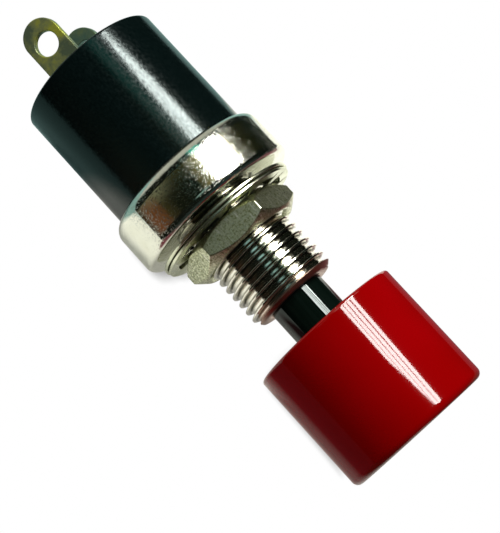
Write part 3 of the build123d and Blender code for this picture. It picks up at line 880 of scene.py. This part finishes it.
room = {
    "dark": (0.006, 0.008, 0.006, 1),
    "threadFrom": (-0.118, -0.130), "collarFrom": (-0.180, -0.195), "paleFrom": (-0.226, -0.242),
    "bodyFrom": (-0.252, -0.268),
    "threadRing": [
        (-80, (0.020, 0.014, 0.010)), (-50, (0.020, 0.014, 0.010)), (-30, (0.006, 0.008, 0.006)),
        (-12, (0.006, 0.008, 0.006)), (-3, (0.30, 0.52, 0.49)), (7, (0.30, 0.52, 0.49)),
        (14, (0.010, 0.014, 0.010)), (118, (0.008, 0.010, 0.006))],
    "collarRing": [
        (-80, (0.030, 0.020, 0.010)), (-70, (0.17, 0.060, 0.025)), (-54, (0.13, 0.050, 0.020)),
        (-46, (0.036, 0.030, 0.010)), (-32, (0.006, 0.008, 0.004)), (4, (0.005, 0.006, 0.004)),
        (14, (0.14, 0.12, 0.035)), (24, (0.20, 0.18, 0.08)), (70, (0.14, 0.13, 0.06)),
        (78, (0.026, 0.026, 0.010)), (118, (0.004, 0.006, 0.003))],
    "paleRing": [
        (-76, (0.10, 0.10, 0.07)), (-60, (0.18, 0.19, 0.11)), (-42, (0.28, 0.29, 0.17)),
        (-16, (0.05, 0.05, 0.02)), (4, (0.05, 0.05, 0.02)), (22, (0.24, 0.23, 0.11)),
        (30, (0.28, 0.27, 0.16)), (66, (0.18, 0.17, 0.08)), (76, (0.03, 0.035, 0.012)),
        (118, (0.006, 0.009, 0.004))],
    "bodyRing": [
        (18, (0.006, 0.008, 0.006)), (28, (0.10, 0.72, 0.58)), (36, (0.10, 0.72, 0.58)),
        (42, (0.006, 0.008, 0.006))],
    "lugEnd": (0.50, 0.51, 0.45, 1), "lugEndFrom": (-0.60, -0.75),
    "buttonEnd": (0.020, 0.030, 0.028, 1), "buttonEndFrom": (0.55, 0.75),
    "screen": (2.6, 2.6, 2.3, 1), "screenHeight": -0.195, "screenHalf": (0.05, 0.04),
    "screenRing": [(22, (0, 0, 0)), (27, (1, 1, 1)), (66, (1, 1, 1)), (71, (0, 0, 0))]}


def makeRoom(s):
    world = bpy.data.worlds.new("room")
    world.use_nodes = True
    scene.world = world
    nodes, links = world.node_tree.nodes, world.node_tree.links
    place = nodes.new("ShaderNodeTexCoord")
    turned = nodes.new("ShaderNodeVectorRotate")
    turned.rotation_type = "Z_AXIS"
    turned.inputs["Angle"].default_value = -viewFrom["azimuth"]
    links.new(place.outputs["Generated"], turned.inputs["Vector"])
    parts = nodes.new("ShaderNodeSeparateXYZ")
    links.new(turned.outputs["Vector"], parts.inputs["Vector"])
    height = parts.outputs["Z"]
    bearing = mathStep(nodes, links, "ARCTAN2", parts.outputs["Y"], parts.outputs["X"])
    share = rangeTo(nodes, links, bearing, 1, 0, -math.pi, math.pi)

    def ringTone(ring):
        return colourFrom(nodes, links, share, [(0.5 + angle / 360, colour) for angle, colour in s[ring]])

    layers = [(name + "From", ringTone(name + "Ring")) for name in ("thread", "collar", "pale", "body")]
    layers += [("lugEndFrom", s["lugEnd"]), ("buttonEndFrom", s["buttonEnd"])]
    tone = s["dark"]
    for edge, layer in layers:
        tone = mixColour(nodes, links, rangeTo(nodes, links, height, 0, 1, *s[edge]), tone, layer)
    offset = mathStep(nodes, links, "SUBTRACT", height, s["screenHeight"])
    offset = mathStep(nodes, links, "ABSOLUTE", offset)
    onScreen = mathStep(nodes, links, "MULTIPLY", ringTone("screenRing"),
                        rangeTo(nodes, links, offset, 0, 1, *s["screenHalf"]))
    tone = mixColour(nodes, links, onScreen, tone, s["screen"])
    path = nodes.new("ShaderNodeLightPath")
    links.new(mixColour(nodes, links, path.outputs["Is Camera Ray"], tone, (1, 1, 1, 1)),
              nodes["Background"].inputs["Color"])


makeRoom(room)
print("room set")


# lamps: four long tubes side by side make the streaks. They stand widest apart at their middle and close
# up towards both ends. A broad soft fill lights the table's side and leaves no reflection. Angles run from
# the camera round the axis, in degrees; sizes are in metres and power in watts.

tubes = {"count": 4, "angle": (38, 47, 56), "height": (0.032, -0.035, -0.100), "distance": 0.26,
         "width": (0.0175, 0.0130), "spacing": (0.0190, 0.0275, 0.0130), "power": (0.115, 0.135),
         "colour": (1.0, 0.99, 0.96)}
fill = {"angle": -95, "height": 0.05, "distance": 0.30, "size": 0.22, "power": 0.24,
        "colour": (1.0, 0.94, 0.90)}


def placeMatrix(x, y, z, origin):
    return Matrix([[x[k], y[k], z[k], origin[k]] for k in range(3)] + [[0, 0, 0, 1]])


def areaLamp(name, middle, axisX, normal, sizeX, sizeY, power, colour):
    # a rectangle of light at the middle, its long side along axisX, shining along the normal
    lamp = bpy.data.lights.new(name, "AREA")
    lamp.shape = "RECTANGLE"
    lamp.size, lamp.size_y, lamp.energy, lamp.color = sizeX, sizeY, power, colour
    holder = bpy.data.objects.new(name, lamp)
    scene.collection.objects.link(holder)
    z = -normal / np.linalg.norm(normal)
    x = axisX - z * (axisX @ z)
    x /= np.linalg.norm(x)
    y = np.cross(z, x)
    holder.matrix_world = placeMatrix(x, y, z, middle)
    return holder


def ringPoint(azimuth, distance, height):
    return np.array([math.cos(azimuth) * distance, math.sin(azimuth) * distance, height])


def makeTubes(s):
    # each run goes from one station to the next along the switch, and its tubes fan out between the two
    stations = [ringPoint(viewFrom["azimuth"] - math.radians(a), s["distance"], h)
                for a, h in zip(s["angle"], s["height"])]
    for run, (near, far) in enumerate(zip(stations[:-1], stations[1:])):
        across = np.cross(far - near, -(near + far) / 2)
        across /= np.linalg.norm(across)
        for k in range(s["count"]):
            place = k - (s["count"] - 1) / 2
            start = near + across * place * s["spacing"][run]
            finish = far + across * place * s["spacing"][run + 1]
            middle, along = (start + finish) / 2, finish - start
            areaLamp("tube%d_%d" % (run, k), middle, along, -middle, np.linalg.norm(along),
                     s["width"][run], s["power"][run], s["colour"])


def makeFill(s):
    middle = ringPoint(viewFrom["azimuth"] - math.radians(s["angle"]), s["distance"], s["height"])
    soft = areaLamp("softFill", middle, np.array([0.0, 0.0, 1.0]), -middle, s["size"], s["size"],
                    s["power"], s["colour"])
    soft.visible_glossy = False


makeFill(fill)
makeTubes(tubes)
print("lamps placed")


# camera

def makeCamera(s):
    data = bpy.data.cameras.new("camera")
    data.sensor_width, data.lens = s["sensor"], s["lens"]
    camera = bpy.data.objects.new("camera", data)
    scene.collection.objects.link(camera)
    place = ringPoint(s["azimuth"], s["distance"], s["height"])
    forward = np.array(s["aim"]) - place
    forward /= np.linalg.norm(forward)
    right = np.cross(forward, [0, 0, 1])
    right /= np.linalg.norm(right)
    up = np.cross(right, forward)
    turned = up * math.cos(s["roll"]) + right * math.sin(s["roll"])
    side = np.cross(forward, turned)
    camera.matrix_world = placeMatrix(side, turned, -forward, place)
    data.clip_start, data.clip_end = s["clip"]
    scene.camera = camera


makeCamera(viewFrom)
scene.view_settings.view_transform = "Standard"

print("scene ready")
